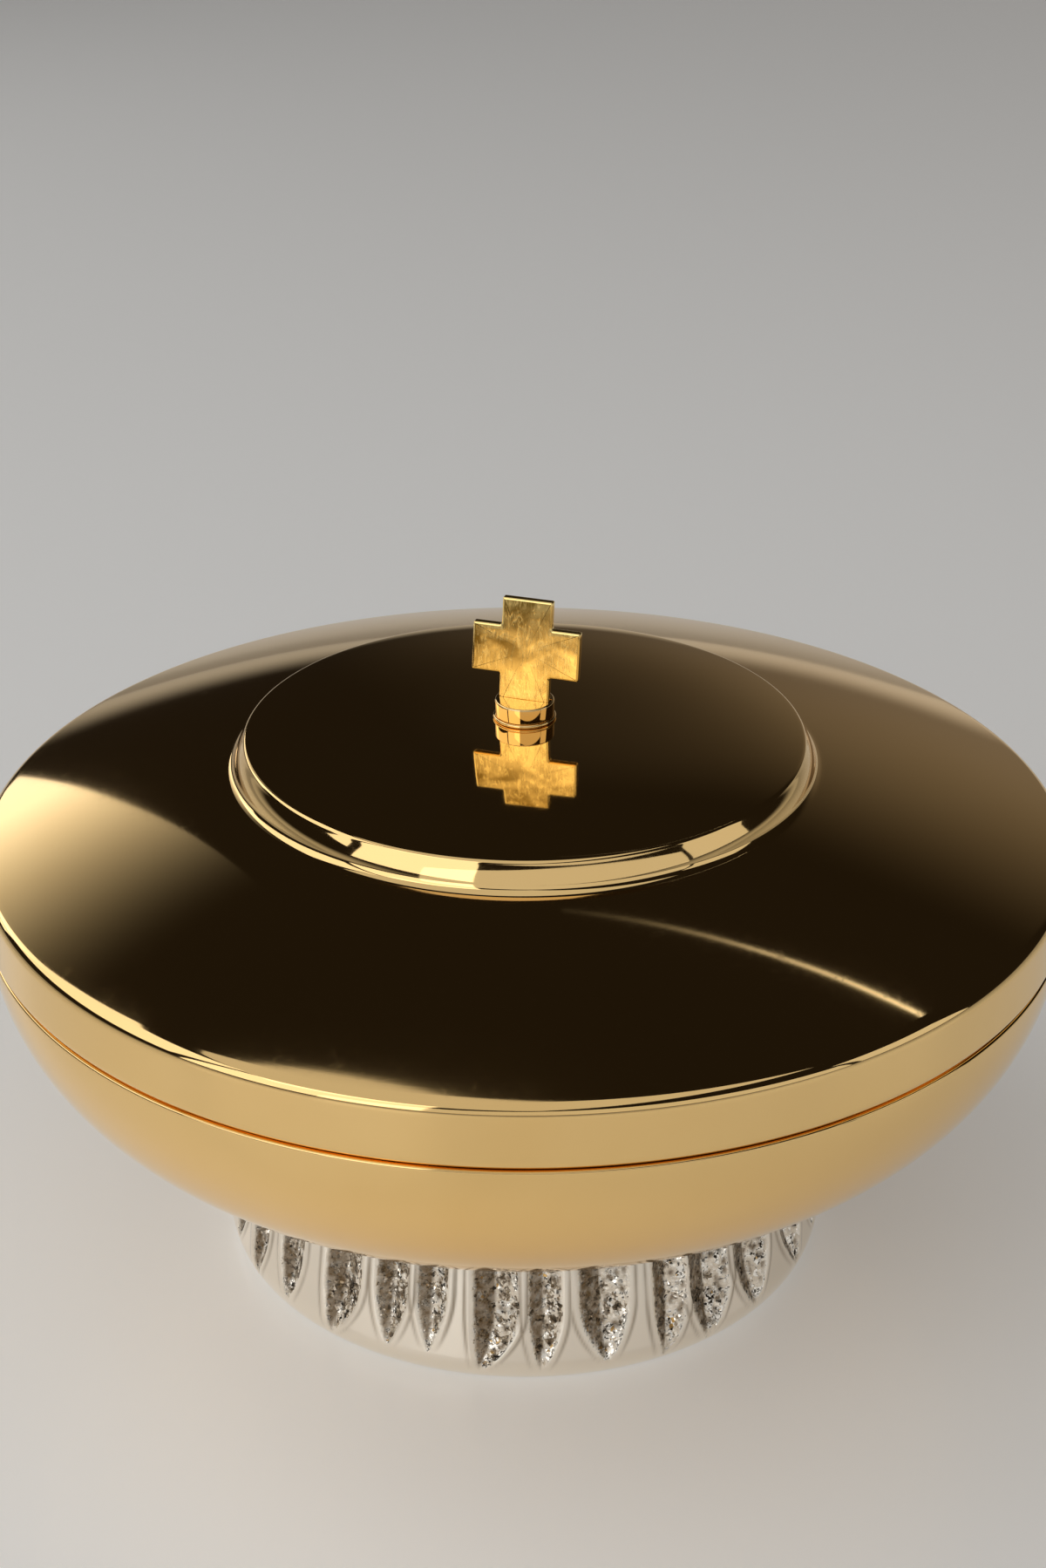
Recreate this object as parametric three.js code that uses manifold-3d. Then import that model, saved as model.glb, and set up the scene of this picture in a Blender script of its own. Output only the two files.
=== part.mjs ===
// A low covered ciborium: a wide bowl on a fluted ring foot, and a lift-off lid with a small cross on its knob.
// Millimetres, +Z up, the origin on the table under the middle of the foot.
import * as THREE from "three";
import { mergeVertices } from "three/addons/utils/BufferGeometryUtils.js";
import Module from "manifold-3d";

const wasm = await Module();
wasm.setup();

// Fits and gaps
const solderGap = 0.05;
const restGap = 0.05;
const boltGap = 0.15;
const ringFit = 0.25;
const lidFit = 0.4;

// Foot
const footHeight = 30.25;
const footTopRadius = 48.5;
const footWideRadius = 52.6;
const footWideHeight = 4;
const footBaseBulge = 1.8;
const footContactWidth = 3.3;
const footWall = 3.5;
const footFlange = 3;
const footFlangeWidth = 9;
const fluteCount = 32;
const landWidth = 2.6;
const fluteDepth = 1.7;
const fluteTipRise = 0.2;
const fluteTipLength = 12.8;
const fluteTipWidth = 0.3;

// Bowl
const bowlInset = 0.2;
const bowlWall = 1.2;
const bowlDepth = 36.65;
const seatMargin = 1.5;
const bowlUpperPull = 20.6;
const bowlLowerPull = 20;
const bowlEdgeRound = 0.4;

// Ring in the bowl's mouth
const ledgeThickness = 1.4;
const lipThickness = 1.2;
const lipHeadroom = 3.2;

// Lid
const lidRadius = 90;
const lidWall = 1.2;
const bandHeight = 8.7;
const shoulderRound = 2.2;
const lowerEdgeRound = 1.6;
const turnedEdgeWidth = 1.6;
const domeRise = 14.7;
const crownRadius = 46.2;
const crownFlare = 2;
const crownStep = 4.4;
const crownCurve = 2.5;
const crownEdgeRound = 0.5;

// Cross
const crossBar = 8.5;
const crossWidth = 18.2;
const crossNeck = 4.3;
const crossThickness = 1.4;
const tangDepth = 1.3;

// Knob
const drumRim = 0.65;
const drumWeb = 0.55;
const drumEdgeRound = 0.3;
const collarProud = 0.3;
const collarHeight = 0.6;
const knobStudRadius = 2;
const knobStudGrip = 0.8;
const knobStudChamfer = 0.4;
const knobWasherProud = 1.5;
const knobWasherThickness = 0.8;
const knobNutWall = 1.5;
const knobNutHeight = 3;
const capInset = 0.1;
const capClearance = 0.4;

// Fasteners under the bowl
const plateOverlap = 5;
const plateThickness = 2;
const plateFit = 0.3;
const footStudRadius = 3;
const footStudChamfer = 0.5;
const footStudEnd = 2;
const studPadWidth = 5;
const studPadThickness = 1.5;
const padClearance = 0.3;
const footWasherProud = 2;
const footWasherThickness = 1;
const footNutWall = 2;
const footNutHeight = 5;

// Fineness of the round shapes
const largeSegments = 64;
const smallSegments = 24;
const crownSteps = 5;
const domeSteps = 6;
const bowlSteps = 10;
const roundSteps = 4;
const smallRoundSteps = 2;
const baseSteps = 3;
const fluteTipSteps = 5;

// Radii that follow from the sizes above
const footContactRadius = footWideRadius - footBaseBulge;
const footContactBore = footContactRadius - footContactWidth;
const footBoreRadius = footTopRadius - footWall;
const flangeBore = footBoreRadius - footFlangeWidth;
const fluteWidth = (2 * Math.PI * footTopRadius) / fluteCount - landWidth;
const seatRadius = footTopRadius + seatMargin;
const bowlRadius = lidRadius - bowlInset;
const bowlInnerRadius = bowlRadius - bowlWall;
const turnedEdgeInner = lidRadius - lowerEdgeRound - turnedEdgeWidth;
const lipOuterRadius = turnedEdgeInner - lidFit;
const lipInnerRadius = lipOuterRadius - lipThickness;
const crownFootRadius = crownRadius + crownFlare;
const drumRadius = crossBar / 2 + drumRim;
const collarRadius = drumRadius + collarProud;
const knobHole = knobStudRadius + boltGap;
const knobNutFlats = 2 * (knobStudRadius + knobNutWall);
const knobWasherRadius = knobNutFlats / 2 + knobWasherProud;
const footStudHole = footStudRadius + boltGap;
const footNutFlats = 2 * (footStudRadius + footNutWall);
const footWasherRadius = footNutFlats / 2 + footWasherProud;

// Heights of the bowl and the lid, from the table up
const seatHeight = footHeight + solderGap;
const floorHeight = seatHeight + bowlWall;
const mouthHeight = seatHeight + bowlDepth;
const lipTop = mouthHeight + bandHeight - lipHeadroom;
const lidBase = mouthHeight + restGap;
const bandTop = lidBase + bandHeight;
const domeEdgeSlope = Math.atan((2 * domeRise) / (lidRadius - shoulderRound));
const domeEdgeRadius = lidRadius - shoulderRound * (1 - Math.sin(domeEdgeSlope));
const domeEdgeHeight = bandTop + shoulderRound * Math.cos(domeEdgeSlope);
const crownEdgeHeight = domeHeight(crownFootRadius) + crownStep;
const crownTop = crownEdgeHeight + crownCurve;

// Heights of the knob's stack, upwards and downwards from the raised centre
const collarBase = crownTop + solderGap;
const drumBase = collarBase + collarHeight + solderGap;
const drumTop = drumBase + knobStudGrip + drumWeb + tangDepth;
const knobWasherTop = crownTop - lidWall - solderGap;
const knobNutTop = knobWasherTop - knobWasherThickness - solderGap;

// Heights of the stack that clamps the foot, downwards from the bowl
const plateTop = footHeight - footFlange - solderGap;
const plateBottom = plateTop - plateThickness;
const spigotTop = plateTop + footFlange - studPadThickness - padClearance;
const footWasherTop = plateBottom - solderGap;
const footNutTop = footWasherTop - footWasherThickness - solderGap;

const gold = { color: 0xd9a441, roughness: 0.12, metalness: 1 };
const crossGold = { color: 0xe2b23a, roughness: 0.28, metalness: 1 };
const paleSilver = { color: 0xd8d2c2, roughness: 0.2, metalness: 1 };
const steel = { color: 0xa9abae, roughness: 0.35, metalness: 1 };

// The dome is a parabola of the radius, which falls by domeRise from the axis to the shoulder.
function domeHeight(radius) {
  return domeEdgeHeight + domeRise * (1 - (radius / domeEdgeRadius) ** 2);
}

// The same dome on the lid's inside, one wall away along the slope's normal.
function innerDomeHeight(radius) {
  const slope = (2 * domeRise * radius) / domeEdgeRadius ** 2;
  return domeHeight(radius) - lidWall * Math.hypot(1, slope);
}

// The raised centre is level in its middle and falls with the fourth power of the radius.
function crownHeight(radius) {
  return crownTop - crownCurve * (radius / crownRadius) ** 4;
}

function innerCrownHeight(radius) {
  return crownHeight(radius) - lidWall;
}

// The foot's wall leans in evenly from its widest line to the bowl.
function footWallRadius(height) {
  const along = (height - footWideHeight) / (footHeight - footWideHeight);
  return footWideRadius + (footTopRadius - footWideRadius) * along;
}

// A flute's width and depth rise as a quarter of a sine wave, from nothing at its tip to all at its full height.
function fluteShare(height) {
  const along = (height - footWideHeight - fluteTipRise) / fluteTipLength;
  return Math.sin((Math.PI / 2) * THREE.MathUtils.clamp(along, 0, 1));
}

function point(radius, height) {
  return new THREE.Vector2(radius, height);
}

// Points on an arc about a centre, between two angles in radians, both ends included.
function arc(centreRadius, centreHeight, round, from, to, steps) {
  return Array.from({ length: steps + 1 }, (_, i) => {
    const angle = from + ((to - from) * i) / steps;
    return point(centreRadius + round * Math.cos(angle), centreHeight + round * Math.sin(angle));
  });
}

// Points of a height function at even steps of the radius, both ends included.
function sweep(heightAt, from, to, steps) {
  return Array.from({ length: steps + 1 }, (_, i) => {
    const radius = from + ((to - from) * i) / steps;
    return point(radius, heightAt(radius));
  });
}

// A body turned about +Z. Its profile runs counter-clockwise with the radius to the right and the height up.
function turned(profile, segments) {
  return new THREE.LatheGeometry(profile, segments).rotateX(Math.PI / 2);
}

function turnedRing(profile, segments) {
  return turned([...profile, profile[0].clone()], segments);
}

function plainRing(inner, outer, bottom, top) {
  const profile = [point(inner, bottom), point(outer, bottom), point(outer, top), point(inner, top)];
  return turnedRing(profile, smallSegments);
}

// An upright cylinder about +Z, as a cutter for a blind hole from either side of its middle height.
function roundCutter(radius, depth, middle) {
  return new THREE.CylinderGeometry(radius, radius, 2 * depth, smallSegments)
    .rotateX(Math.PI / 2)
    .translate(0, 0, middle);
}

// A hexagon outline of the given width across flats.
function hexagon(flats) {
  const corner = flats / Math.sqrt(3);
  const corners = Array.from({ length: 6 }, (_, i) => {
    const angle = (i * Math.PI) / 3;
    return point(corner * Math.cos(angle), corner * Math.sin(angle));
  });
  return new THREE.Shape(corners);
}

// A flat outline made solid upwards from a height.
function raised(outline, thickness, bottom) {
  return new THREE.ExtrudeGeometry(outline, {
    depth: thickness,
    bevelEnabled: false,
    curveSegments: smallSegments / 2,
  }).translate(0, 0, bottom);
}

function solidFrom(geometry) {
  const bare = geometry.index ? geometry.toNonIndexed() : geometry.clone();
  bare.deleteAttribute("normal");
  bare.deleteAttribute("uv");
  const merged = mergeVertices(bare, 1e-4);
  const mesh = new wasm.Mesh({
    numProp: 3,
    vertProperties: new Float32Array(merged.attributes.position.array),
    triVerts: new Uint32Array(merged.index.array),
  });
  return new wasm.Manifold(mesh);
}

function geometryFrom(solid) {
  const mesh = solid.getMesh();
  const geometry = new THREE.BufferGeometry();
  geometry.setAttribute("position", new THREE.BufferAttribute(mesh.vertProperties, mesh.numProp));
  geometry.setIndex(new THREE.BufferAttribute(mesh.triVerts, 1));
  return geometry.toNonIndexed();
}

function named(name, geometry, finish) {
  const mesh = new THREE.Mesh(geometry, new THREE.MeshStandardMaterial(finish));
  mesh.name = name;
  return mesh;
}

// The lid is one spun sheet with a raised centre, a dome, a rolled shoulder, a band and a turned-in edge.
function lidShell() {
  const edge = crownEdgeRound;
  const crownSlope = Math.atan((4 * crownCurve) / crownRadius);
  const wallLean = Math.atan(crownFlare / crownStep);
  const filletStart = crownFootRadius - edge * Math.tan(wallLean);
  const filletEnd = crownFootRadius + edge;
  const crownOutside = [
    ...sweep(crownHeight, knobHole, crownRadius - edge, crownSteps),
    ...arc(crownRadius - edge, crownEdgeHeight - edge, edge, Math.PI / 2 - crownSlope, wallLean, smallRoundSteps),
    point(filletStart, domeHeight(crownFootRadius) + edge),
  ];
  const domeOutside = sweep(domeHeight, filletEnd, domeEdgeRadius, domeSteps);
  const shoulder = arc(
    lidRadius - shoulderRound,
    bandTop,
    shoulderRound,
    Math.PI / 2 - domeEdgeSlope,
    0,
    roundSteps,
  );
  const lowerEdge = arc(
    lidRadius - lowerEdgeRound,
    lidBase + lowerEdgeRound,
    lowerEdgeRound,
    0,
    -Math.PI / 2,
    roundSteps,
  );
  const bandInside = [
    point(turnedEdgeInner, lidBase),
    point(turnedEdgeInner, lidBase + lidWall),
    point(lidRadius - lidWall, lidBase + lidWall + turnedEdgeWidth),
    point(lidRadius - lidWall, bandTop),
  ];
  const domeInside = sweep(
    innerDomeHeight,
    lidRadius - 2 * shoulderRound,
    crownFootRadius - lidWall / 2,
    domeSteps - 1,
  );
  const crownInside = sweep(innerCrownHeight, crownRadius - lidWall, knobHole, crownSteps - 1);
  const profile = [
    ...crownOutside,
    ...domeOutside,
    ...shoulder.slice(1),
    ...lowerEdge,
    ...bandInside,
    ...domeInside,
    ...crownInside,
  ];
  return turnedRing(profile.reverse(), largeSegments);
}

// A thin bead with a round rim, between the raised centre and the drum.
function knobCollar() {
  const round = collarHeight / 2;
  const profile = [
    point(knobHole, collarBase),
    ...arc(collarRadius - round, collarBase + round, round, -Math.PI / 2, Math.PI / 2, roundSteps),
    point(knobHole, collarBase + collarHeight),
  ];
  return turnedRing(profile, smallSegments);
}

// A drum with a slot for the cross in its top and a socket for the stud in its base.
function knobDrum() {
  const round = drumEdgeRound;
  const body = turned(
    [
      point(0, drumBase),
      point(drumRadius - round, drumBase),
      point(drumRadius, drumBase + round),
      ...arc(drumRadius - round, drumTop - round, round, 0, Math.PI / 2, smallRoundSteps),
      point(0, drumTop),
    ],
    smallSegments,
  );
  const slot = new THREE.BoxGeometry(
    crossBar + 2 * solderGap,
    crossThickness + 2 * solderGap,
    2 * (tangDepth + solderGap),
  ).translate(0, 0, drumTop);
  const socket = roundCutter(knobStudRadius + solderGap, knobStudGrip + solderGap, drumBase);
  return geometryFrom(solidFrom(body).subtract(solidFrom(slot)).subtract(solidFrom(socket)));
}

// A Greek cross with equal arms, whose lower arm runs on as a neck and a tang into the drum's slot.
function finialCross() {
  const half = crossBar / 2;
  const reach = crossWidth / 2;
  const armBase = drumTop + crossNeck;
  const armTop = armBase + crossBar;
  const rightSide = [
    point(half, drumTop - tangDepth),
    point(half, armBase),
    point(reach, armBase),
    point(reach, armTop),
    point(half, armTop),
    point(half, armTop + reach - half),
  ];
  const leftSide = rightSide.map((corner) => point(-corner.x, corner.y)).reverse();
  const outline = new THREE.Shape([...rightSide, ...leftSide]);
  return raised(outline, crossThickness, -crossThickness / 2).rotateX(Math.PI / 2);
}

function knobStud() {
  const bottom = knobNutTop - knobNutHeight;
  const top = drumBase + knobStudGrip;
  const profile = [
    point(0, bottom),
    point(knobStudRadius - knobStudChamfer, bottom),
    point(knobStudRadius, bottom + knobStudChamfer),
    point(knobStudRadius, top),
    point(0, top),
  ];
  return turned(profile, smallSegments);
}

// A hexagon nut with a round cap under it. The blind hole ends just past the stud.
function knobCapNut() {
  const bottom = knobNutTop - knobNutHeight;
  const capRadius = knobNutFlats / 2 - capInset;
  const neckTop = bottom + knobNutHeight / 2;
  const cap = turned(
    [...arc(0, bottom, capRadius, -Math.PI / 2, 0, roundSteps), point(capRadius, neckTop), point(0, neckTop)],
    smallSegments,
  );
  const hexagonPart = raised(hexagon(knobNutFlats), knobNutHeight, bottom);
  const bore = roundCutter(knobHole, knobNutHeight + capClearance, knobNutTop);
  return geometryFrom(solidFrom(hexagonPart).add(solidFrom(cap)).subtract(solidFrom(bore)));
}

// The bowl's outer curve is level where it leaves the foot and upright at the mouth.
function bowlShell() {
  const curve = new THREE.CubicBezierCurve(
    point(seatRadius, seatHeight),
    point(seatRadius + bowlLowerPull, seatHeight),
    point(bowlRadius, mouthHeight - bowlUpperPull),
    point(bowlRadius, mouthHeight),
  );
  const outside = curve.getPoints(bowlSteps);
  const inside = outside.map((at, i) => {
    const along = curve.getTangent(i / bowlSteps);
    return point(at.x - bowlWall * along.y, at.y + bowlWall * along.x);
  });
  const edge = bowlEdgeRound;
  const profile = [
    point(0, seatHeight),
    ...outside.slice(0, -1),
    ...arc(bowlRadius - edge, mouthHeight - edge, edge, 0, Math.PI / 2, smallRoundSteps),
    ...inside.reverse(),
    point(0, floorHeight),
  ];
  return turned(profile, largeSegments);
}

// The ring in the mouth has a level ledge under the lid's edge, and an upright lip inside it.
function bowlRimRing() {
  const ledgeOuter = bowlInnerRadius - ringFit;
  const ledgeBottom = mouthHeight - ledgeThickness;
  const round = lipThickness / 2;
  const profile = [
    point(lipInnerRadius, ledgeBottom),
    point(ledgeOuter, ledgeBottom),
    point(ledgeOuter, mouthHeight),
    point(lipOuterRadius, mouthHeight),
    ...arc(lipInnerRadius + round, lipTop - round, round, 0, Math.PI, roundSteps),
  ];
  return turnedRing(profile, largeSegments);
}

// The foot is turned with four columns to a flute: its bottom line, an edge, the middle of a land and an edge.
// Each column of the fluted rows is then moved round to its edge, or in to the bottom line.
function footRing() {
  const tipHeight = footWideHeight + fluteTipRise;
  const flutedHeights = Array.from({ length: fluteTipSteps + 1 }, (_, i) => {
    return tipHeight + fluteTipLength * (i / fluteTipSteps) ** 1.5;
  });
  flutedHeights.push(footHeight);
  const base = arc(0, 0, 1, -Math.PI / 2, 0, baseSteps).map((at) => {
    return point(footContactRadius + footBaseBulge * at.x, footWideHeight * (1 + at.y));
  });
  const profile = [
    point(footContactBore, 0),
    ...base,
    ...flutedHeights.map((height) => point(footWallRadius(height), height)),
    point(flangeBore, footHeight),
    point(flangeBore, footHeight - footFlange),
    point(footBoreRadius, footHeight - footFlange),
    point(footContactBore, 0),
  ];
  const edgeSides = [0, -1, 0, 1];
  const bottomPlace = 0;
  const columns = fluteCount * edgeSides.length;
  const columnAngle = (2 * Math.PI) / columns;
  const ring = new THREE.LatheGeometry(profile, columns);
  const firstFluted = 1 + base.length;
  for (let column = 0; column <= columns; column++) {
    const place = column % edgeSides.length;
    const side = edgeSides[place];
    for (let row = firstFluted; row < firstFluted + flutedHeights.length; row++) {
      const { x: wall, y: height } = profile[row];
      const share = fluteShare(height);
      const halfWidth = Math.max(fluteWidth * share, fluteTipWidth) / 2;
      const angle = (column + side) * columnAngle - (side * halfWidth) / wall;
      const radius = place === bottomPlace ? wall - fluteDepth * share : wall;
      const index = column * profile.length + row;
      ring.attributes.position.setXYZ(index, radius * Math.sin(angle), height, radius * Math.cos(angle));
    }
  }
  return ring.rotateX(Math.PI / 2);
}

// The stud's round pad is soldered under the bowl.
function footStud() {
  const padBottom = footHeight - studPadThickness;
  const bottom = footNutTop - footNutHeight - footStudEnd;
  const padRadius = footStudRadius + studPadWidth;
  const profile = [
    point(0, bottom),
    point(footStudRadius - footStudChamfer, bottom),
    point(footStudRadius, bottom + footStudChamfer),
    point(footStudRadius, padBottom),
    point(padRadius, padBottom),
    point(padRadius, footHeight),
    point(0, footHeight),
  ];
  return turned(profile, smallSegments);
}

// The plate bears on the underside of the foot's flange, and its spigot centres the foot.
function footClampPlate() {
  const plateRadius = flangeBore + plateOverlap;
  const spigotRadius = flangeBore - plateFit;
  const profile = [
    point(footStudHole, plateBottom),
    point(plateRadius, plateBottom),
    point(plateRadius, plateTop),
    point(spigotRadius, plateTop),
    point(spigotRadius, spigotTop),
    point(footStudHole, spigotTop),
  ];
  return turnedRing(profile, largeSegments);
}

function footNut() {
  const hole = new THREE.Path();
  hole.absarc(0, 0, footStudHole, 0, 2 * Math.PI, true);
  const outline = hexagon(footNutFlats);
  outline.holes.push(hole);
  return raised(outline, footNutHeight, footNutTop - footNutHeight);
}

function knobWasher() {
  return plainRing(knobHole, knobWasherRadius, knobWasherTop - knobWasherThickness, knobWasherTop);
}

function footWasher() {
  return plainRing(footStudHole, footWasherRadius, footWasherTop - footWasherThickness, footWasherTop);
}

const lid = new THREE.Group();
lid.add(
  named("lid_shell", lidShell(), gold),
  named("knob_collar", knobCollar(), gold),
  named("knob_drum", knobDrum(), gold),
  named("finial_cross", finialCross(), crossGold),
  named("knob_stud", knobStud(), steel),
  named("knob_washer", knobWasher(), steel),
  named("knob_cap_nut", knobCapNut(), gold),
);

const bowl = new THREE.Group();
bowl.add(
  named("bowl_shell", bowlShell(), gold),
  named("bowl_rim_ring", bowlRimRing(), gold),
  named("foot_ring", footRing(), paleSilver),
  named("foot_stud", footStud(), steel),
  named("foot_clamp_plate", footClampPlate(), steel),
  named("foot_washer", footWasher(), steel),
  named("foot_nut", footNut(), steel),
);

const ciborium = new THREE.Group();
ciborium.add(bowl, lid);

export default ciborium;
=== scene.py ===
# %% [markdown]
# # A low covered ciborium
#
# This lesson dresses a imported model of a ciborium: a wide gold-plated bowl on a fluted silver foot, with
# a domed lid that lifts off by a small knob with a cross. Nearly every piece is turned on a lathe or spun
# from sheet, so nearly every piece here is a profile carried once round the vessel's axis. What tells the
# pieces apart is the way they take the light, so most care goes into small rounded edges and into the
# polish.
#
# All sizes in the cells are in millimetres, and a piece is brought to metres at the moment it becomes a
# mesh.

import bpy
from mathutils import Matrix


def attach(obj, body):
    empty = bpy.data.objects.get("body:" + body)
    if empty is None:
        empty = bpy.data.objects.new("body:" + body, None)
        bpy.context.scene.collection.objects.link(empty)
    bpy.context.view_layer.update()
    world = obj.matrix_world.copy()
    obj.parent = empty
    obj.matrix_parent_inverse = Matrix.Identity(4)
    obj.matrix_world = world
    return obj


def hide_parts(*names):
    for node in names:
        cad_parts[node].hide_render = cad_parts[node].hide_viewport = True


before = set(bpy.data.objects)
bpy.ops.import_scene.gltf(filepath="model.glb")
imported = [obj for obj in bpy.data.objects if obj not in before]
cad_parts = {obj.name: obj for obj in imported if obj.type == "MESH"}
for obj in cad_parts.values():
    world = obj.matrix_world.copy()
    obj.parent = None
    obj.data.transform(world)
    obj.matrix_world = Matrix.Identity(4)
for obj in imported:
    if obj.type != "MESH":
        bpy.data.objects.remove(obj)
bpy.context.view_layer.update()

# %% [markdown]
# ## Surfaces from arrays
#
# A turned piece could be made with Blender's Screw modifier, but the same few lines of numpy make every
# piece in this file, also the ones that aren't quite round. A piece is a grid of points: each row is one
# turn round the axis, and the rows follow the profile. Rows run with the metal on their left, so that the
# faces point outwards.

# %% Grid to mesh
import bpy
import numpy as np

MILLIMETRE = 0.001
MERGE = 1e-5
SHARP_ANGLE = np.radians(34)


def skin(name, grid, marks=None):
    """Makes a closed mesh from grid[row, column, xyz] in millimetres.

    Each point is joined to the next one in its row, the last to the first, and to the one above it in the
    next row. Points that lie on each other become one, which closes a pole, and a profile whose last row is
    its first. marks holds one number a point under each name, for a material to read as an attribute.
    """
    rows, columns = grid.shape[:2]
    index = np.arange(rows * columns).reshape(rows, columns)
    ahead = np.roll(index, -1, axis=1)
    quads = np.stack([index[:-1], ahead[:-1], ahead[1:], index[1:]], axis=-1).reshape(-1, 4)
    keys = np.round(grid.reshape(-1, 3) / MERGE).astype(np.int64)
    _, kept, joined = np.unique(keys, axis=0, return_index=True, return_inverse=True)
    quads = joined.reshape(-1)[quads]
    lower_pole = quads[:, 0] == quads[:, 1]
    upper_pole = quads[:, 2] == quads[:, 3]
    whole = quads[~(lower_pole | upper_pole)]
    lower_fans = quads[lower_pole & ~upper_pole][:, [0, 2, 3]]
    upper_fans = quads[upper_pole & ~lower_pole][:, [0, 1, 2]]
    fans = np.vstack([lower_fans, upper_fans])
    mesh = bpy.data.meshes.new(name)
    mesh.from_pydata(grid.reshape(-1, 3)[kept] * MILLIMETRE, [], whole.tolist() + fans.tolist())
    for title, values in (marks or {}).items():
        attribute = mesh.attributes.new(title, "FLOAT", "POINT")
        attribute.data.foreach_set("value", values.reshape(-1)[kept].astype("f"))
    mesh.shade_smooth()
    mesh.set_sharp_from_angle(angle=SHARP_ANGLE)
    mesh.validate()
    piece = bpy.data.objects.new(name, mesh)
    bpy.context.scene.collection.objects.link(piece)
    print(name, len(mesh.vertices), "points,", len(whole) * 2 + len(fans), "triangles")
    return piece


# %% [markdown]
# ## Profiles
#
# A profile is an array of radius and height. Straight runs, arcs and curves are stacked to make it, and
# sharp corners are rounded with a short parabola, as a file and a polishing wheel round them.

# %% Profile helpers
def run(start, end, steps=1):
    """Points from start to end at even steps along a straight line, both ends included."""
    return np.linspace(start, end, steps + 1)


def arc(centre, radius, start, end, steps):
    """Points at even angles on a circle about centre, from start to end in degrees, both ends included."""
    angles = np.radians(np.linspace(start, end, steps + 1))
    return np.stack([centre[0] + radius * np.cos(angles), centre[1] + radius * np.sin(angles)], axis=1)


def graph(height_at, start, end, steps):
    """Points at even steps of radius from start to end, each at the height that the function gives."""
    radii = np.linspace(start, end, steps + 1)
    return np.stack([radii, height_at(radii)], axis=1)


def eased(before, corner, after, reach, steps=6):
    """A parabola that rounds a corner, from reach before it on one line to reach after it on the other."""
    before, corner, after = np.array(before, float), np.array(corner, float), np.array(after, float)
    first = corner + reach * (before - corner) / np.linalg.norm(before - corner)
    last = corner + reach * (after - corner) / np.linalg.norm(after - corner)
    t = np.linspace(0, 1, steps + 1)[:, None]
    return (1 - t) ** 2 * first + 2 * t * (1 - t) * corner + t**2 * last


def eased_corners(corners, reach, steps):
    """A list of the bends that round the corners of a closed outline, all by the same reach."""
    corners = np.array(corners, float)
    before, after = np.roll(corners, 1, axis=0), np.roll(corners, -1, axis=0)
    return [eased(b, c, a, reach, steps) for b, c, a in zip(before, corners, after)]


def rounded(corners, reach, steps=4):
    """A closed profile through the given corners, with each corner rounded by the same reach."""
    bends = eased_corners(corners, reach, steps)
    return np.vstack(bends + [bends[0][:1]])


def around(radii, angles, heights):
    """Points about +Z at each radius r, angle a and height h, which are r cos a, r sin a, h."""
    radii, angles, heights = np.broadcast_arrays(radii, angles, heights)
    return np.stack([radii * np.cos(angles), radii * np.sin(angles), heights], axis=-1)


def turned(profile, columns):
    """Carries a profile once round +Z, in so many columns at even angles."""
    angles = np.linspace(0, 2 * np.pi, columns, endpoint=False)
    return around(profile[:, :1], angles, profile[:, 1:])


# %% [markdown]
# ## The lid
#
# The lid is one spun sheet. Its dome is a flat parabola that falls to a rolled shoulder, and an upright
# band runs down from the shoulder to an edge that is turned in. A disc with a flared wall stands up in
# the middle. The whole outside is polished to a mirror, and a mirror shows every kink, so the profile has
# many points where it bends.

# %% Sizes of the lid
LID_RADIUS = 90.0
SHEET = 1.2
LID_BASE = 67.0
BAND_TOP = 75.7
BAND_ABOVE_EDGE = 2.0
BAND_BELOW_SHOULDER = 0.5
SHOULDER_ROUND = 2.2
LOWER_EDGE_ROUND = 1.6
TURNED_EDGE = 1.6
DOME_RISE = 14.7
CROWN_RADIUS = 46.2
CROWN_FOOT = 48.2
CROWN_STEP = 4.4
CROWN_CURVE = 2.5
CROWN_BULGE = 0.16
CROWN_EDGE_REACH = 0.45
CROWN_FILLET_REACH = 0.9
KNOB_HOLE = 2.15
SLOPING_SHEET = 1.05 * SHEET
INSIDE_BEND = 0.4
INNER_SHOULDER_REACH = 1.6
INNER_SHOULDER_RISE = 0.9
INNER_SHOULDER_DROP = 4.0
HEM_BEND = 0.8
HEM_EDGE = 0.3
LARGE_COLUMNS = 288

shoulder_slope = np.degrees(np.arctan(2 * DOME_RISE / (LID_RADIUS - SHOULDER_ROUND)))
shoulder_centre = (LID_RADIUS - SHOULDER_ROUND, BAND_TOP)
dome_edge = arc(shoulder_centre, SHOULDER_ROUND, 90 - shoulder_slope, 90 - shoulder_slope, 1)[0]


def dome_height(radius):
    """The dome's outside: a parabola that falls by DOME_RISE from the axis to the shoulder."""
    return dome_edge[1] + DOME_RISE * (1 - (radius / dome_edge[0]) ** 2)


crown_edge = dome_height(CROWN_FOOT) + CROWN_STEP
crown_top = crown_edge + CROWN_CURVE


def crown_height(radius):
    """The raised disc's outside: level in its middle, falling with the fourth power of the radius."""
    return crown_top - CROWN_CURVE * (radius / CROWN_RADIUS) ** 4


print("raised disc from", round(crown_edge, 2), "to", round(crown_top, 2), "mm above the table")

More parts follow.
